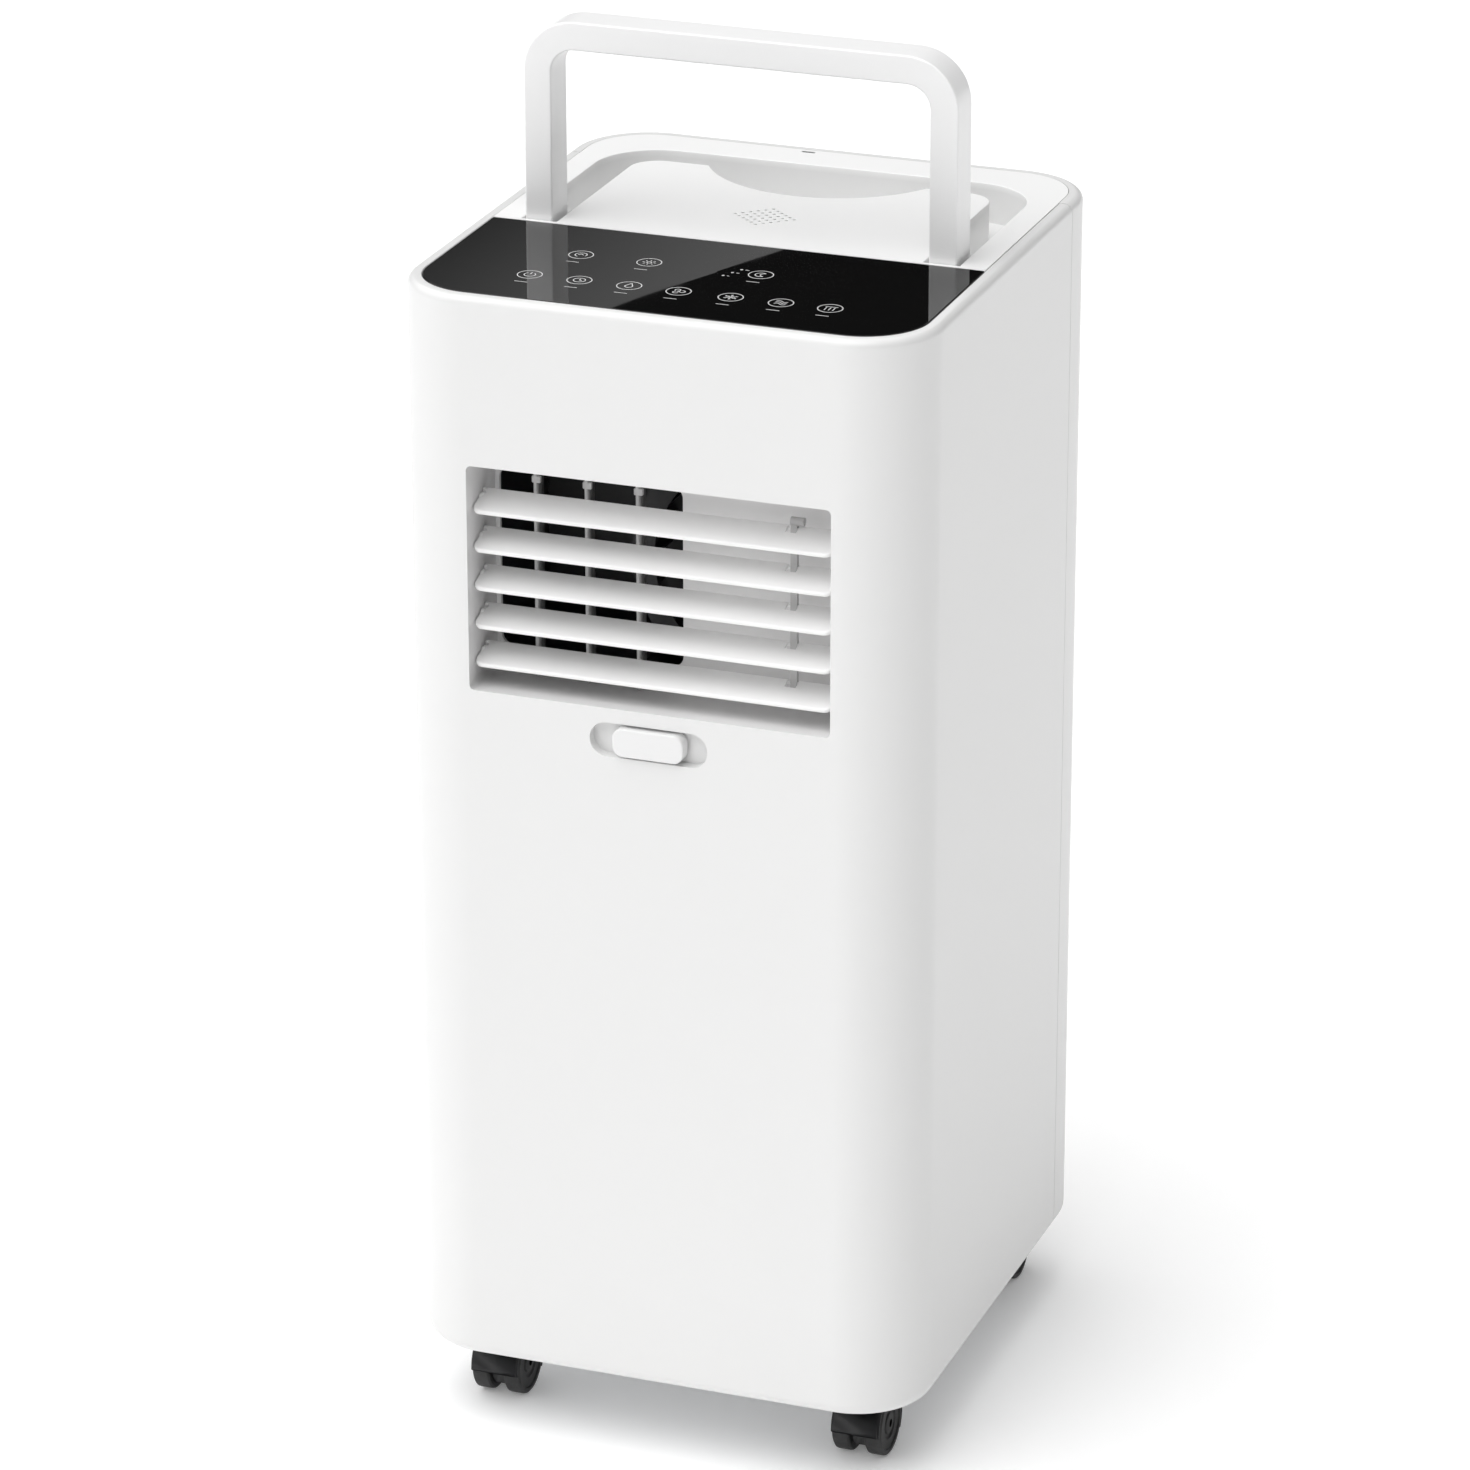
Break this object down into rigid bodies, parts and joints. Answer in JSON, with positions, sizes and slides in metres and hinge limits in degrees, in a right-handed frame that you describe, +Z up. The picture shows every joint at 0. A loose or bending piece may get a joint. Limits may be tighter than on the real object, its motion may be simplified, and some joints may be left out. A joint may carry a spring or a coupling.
{
  "type": "portable air conditioner",
  "caption": "Upright portable air conditioner on swivel casters, with a folding bail handle, touch glass panel, louvered air outlet, slider for the air guides and rear exhaust port.",
  "frame": {"origin": "on the floor, under the middle of the case", "axes": "+X to the user's right, -Y out of the front with the air outlet, +Z up"},
  "size_m": [0.306, 0.336, 0.8015],
  "materials": {
    "case_white": "satin",
    "deck_white": "satin",
    "handle_white": "satin",
    "panel_glass": "gloss",
    "circuit_green": "matte",
    "outlet_grey": "satin",
    "louver_white": "satin",
    "guide_grey": "satin",
    "knob_white": "satin",
    "caster_black": "satin",
    "wheel_black": "matte",
    "tray_grey": "matte",
    "compressor_black": "gloss",
    "rubber_black": "matte",
    "fin_aluminium": "bare",
    "copper": "bare",
    "duct_black": "matte",
    "steel": "zinc plated",
    "splash_white": "matte",
    "box_grey": "matte",
    "capacitor_metal": "bare",
    "port_white": "satin",
    "grille_white": "satin",
    "filter_mesh": "woven"
  },
  "bodies": {
    "case": {"front_shell": "case_white", "rear_cover": "case_white", "top_deck": "deck_white", "control_glass": "panel_glass", "display_board": "circuit_green", "handle_pins": "steel", "outlet_housing": "outlet_grey", "base_tray": "tray_grey", "middle_partition": "tray_grey", "compressor": "compressor_black", "compressor_mounts": "rubber_black", "accumulator": "compressor_black", "condenser_coil": "fin_aluminium", "evaporator_coil": "fin_aluminium", "copper_pipes": "copper", "upper_scroll": "duct_black", "upper_motor": "steel", "lower_scroll": "duct_black", "lower_motor": "steel", "splash_motor": "steel", "float_switch": "splash_white", "electrical_box": "box_grey", "main_board": "circuit_green", "run_capacitor": "capacitor_metal", "exhaust_collar": "port_white", "cord_gland": "port_white", "case_screws": "steel"},
    "handle": {"handle": "handle_white"},
    "louver_1": {"louver_1": "louver_white"},
    "louver_2": {"louver_2": "louver_white"},
    "louver_3": {"louver_3": "louver_white"},
    "louver_4": {"louver_4": "louver_white"},
    "louver_5": {"louver_5": "louver_white"},
    "louver_link": {"louver_link": "guide_grey"},
    "slider": {"slider_knob": "knob_white", "vane_link": "guide_grey"},
    "vane_1": {"vane_1": "guide_grey"},
    "vane_2": {"vane_2": "guide_grey"},
    "vane_3": {"vane_3": "guide_grey"},
    "caster_fork_front_left": {"caster_fork_front_left": "caster_black"},
    "caster_wheels_front_left": {"caster_wheels_front_left": "wheel_black"},
    "caster_fork_front_right": {"caster_fork_front_right": "caster_black"},
    "caster_wheels_front_right": {"caster_wheels_front_right": "wheel_black"},
    "caster_fork_rear_left": {"caster_fork_rear_left": "caster_black"},
    "caster_wheels_rear_left": {"caster_wheels_rear_left": "wheel_black"},
    "caster_fork_rear_right": {"caster_fork_rear_right": "caster_black"},
    "caster_wheels_rear_right": {"caster_wheels_rear_right": "wheel_black"},
    "upper_fan": {"upper_fan": "duct_black"},
    "lower_fan": {"lower_fan": "duct_black"},
    "splash_wheel": {"splash_wheel": "splash_white"},
    "upper_filter": {"upper_filter_frame": "grille_white", "upper_filter_mesh": "filter_mesh"},
    "lower_filter": {"lower_filter_frame": "grille_white", "lower_filter_mesh": "filter_mesh"},
    "upper_drain_plug": {"upper_drain_plug": "rubber_black"},
    "lower_drain_plug": {"lower_drain_plug": "rubber_black"}
  },
  "joints": [
    {"name": "handle_fold", "type": "hinge", "parent": "case", "child": "handle", "pos_m": [0, -0.0051, 0.6715], "axis": [-1, 0, 0], "range_deg": [0, 90]},
    {"name": "louver_1_tilt", "type": "hinge", "parent": "case", "child": "louver_1", "pos_m": [0, -0.146, 0.565], "axis": [1, 0, 0], "range_deg": [-45, 30]},
    {"name": "louver_2_tilt", "type": "hinge", "parent": "case", "child": "louver_2", "pos_m": [0, -0.146, 0.5426], "axis": [1, 0, 0], "range_deg": [-45, 30]},
    {"name": "louver_3_tilt", "type": "hinge", "parent": "case", "child": "louver_3", "pos_m": [0, -0.146, 0.5202], "axis": [1, 0, 0], "range_deg": [-45, 30]},
    {"name": "louver_4_tilt", "type": "hinge", "parent": "case", "child": "louver_4", "pos_m": [0, -0.146, 0.4978], "axis": [1, 0, 0], "range_deg": [-45, 30]},
    {"name": "louver_5_tilt", "type": "hinge", "parent": "case", "child": "louver_5", "pos_m": [0, -0.146, 0.4754], "axis": [1, 0, 0], "range_deg": [-45, 30]},
    {"name": "louver_link_turn", "type": "hinge", "parent": "louver_1", "child": "louver_link", "pos_m": [0.076, -0.13995, 0.56708], "axis": [1, 0, 0], "range_deg": [-30, 45]},
    {"name": "knob_slide", "type": "slide", "parent": "case", "child": "slider", "axis": [1, 0, 0], "range_m": [-0.011, 0.011]},
    {"name": "vane_1_turn", "type": "hinge", "parent": "case", "child": "vane_1", "pos_m": [-0.077, -0.129, 0.524], "axis": [0, 0, 1], "range_deg": [-28, 28]},
    {"name": "vane_2_turn", "type": "hinge", "parent": "case", "child": "vane_2", "pos_m": [-0.047, -0.129, 0.524], "axis": [0, 0, 1], "range_deg": [-28, 28]},
    {"name": "vane_3_turn", "type": "hinge", "parent": "case", "child": "vane_3", "pos_m": [-0.017, -0.129, 0.524], "axis": [0, 0, 1], "range_deg": [-28, 28]},
    {"name": "swivel_front_left", "type": "hinge", "parent": "case", "child": "caster_fork_front_left", "pos_m": [-0.111, -0.125, 0.046], "axis": [0, 0, 1], "continuous": true},
    {"name": "roll_front_left", "type": "hinge", "parent": "caster_fork_front_left", "child": "caster_wheels_front_left", "pos_m": [-0.111, -0.112, 0.019], "axis": [1, 0, 0], "continuous": true},
    {"name": "swivel_front_right", "type": "hinge", "parent": "case", "child": "caster_fork_front_right", "pos_m": [0.111, -0.125, 0.046], "axis": [0, 0, 1], "continuous": true},
    {"name": "roll_front_right", "type": "hinge", "parent": "caster_fork_front_right", "child": "caster_wheels_front_right", "pos_m": [0.111, -0.112, 0.019], "axis": [1, 0, 0], "continuous": true},
    {"name": "swivel_rear_left", "type": "hinge", "parent": "case", "child": "caster_fork_rear_left", "pos_m": [-0.111, 0.115, 0.046], "axis": [0, 0, 1], "continuous": true},
    {"name": "roll_rear_left", "type": "hinge", "parent": "caster_fork_rear_left", "child": "caster_wheels_rear_left", "pos_m": [-0.111, 0.128, 0.019], "axis": [1, 0, 0], "continuous": true},
    {"name": "swivel_rear_right", "type": "hinge", "parent": "case", "child": "caster_fork_rear_right", "pos_m": [0.111, 0.115, 0.046], "axis": [0, 0, 1], "continuous": true},
    {"name": "roll_rear_right", "type": "hinge", "parent": "caster_fork_rear_right", "child": "caster_wheels_rear_right", "pos_m": [0.111, 0.128, 0.019], "axis": [1, 0, 0], "continuous": true},
    {"name": "upper_fan_spin", "type": "hinge", "parent": "case", "child": "upper_fan", "pos_m": [0.045, -0.083, 0.53], "axis": [0, 1, 0], "continuous": true},
    {"name": "lower_fan_spin", "type": "hinge", "parent": "case", "child": "lower_fan", "pos_m": [0.048, 0.03, 0.33], "axis": [0, 1, 0], "continuous": true},
    {"name": "splash_spin", "type": "hinge", "parent": "case", "child": "splash_wheel", "pos_m": [0.078, 0.092, 0.082], "axis": [0, 1, 0], "continuous": true},
    {"name": "upper_filter_pull", "type": "slide", "parent": "case", "child": "upper_filter", "axis": [0, 1, 0], "range_m": [0, 0.06]},
    {"name": "lower_filter_pull", "type": "slide", "parent": "case", "child": "lower_filter", "axis": [0, 1, 0], "range_m": [0, 0.06]},
    {"name": "upper_drain_plug_pull", "type": "slide", "parent": "case", "child": "upper_drain_plug", "axis": [0, 1, 0], "range_m": [0, 0.02]},
    {"name": "lower_drain_plug_pull", "type": "slide", "parent": "case", "child": "lower_drain_plug", "axis": [0, 1, 0], "range_m": [0, 0.02]}
  ],
  "couplings": [
    {"joint": "louver_2_tilt", "follows": "louver_1_tilt", "ratio": 1},
    {"joint": "louver_3_tilt", "follows": "louver_1_tilt", "ratio": 1},
    {"joint": "louver_4_tilt", "follows": "louver_1_tilt", "ratio": 1},
    {"joint": "louver_5_tilt", "follows": "louver_1_tilt", "ratio": 1},
    {"joint": "louver_link_turn", "follows": "louver_1_tilt", "ratio": -1},
    {"joint": "vane_1_turn", "follows": "knob_slide", "rad_per_m": 39.07},
    {"joint": "vane_2_turn", "follows": "knob_slide", "rad_per_m": 39.07},
    {"joint": "vane_3_turn", "follows": "knob_slide", "rad_per_m": 39.07}
  ]
}
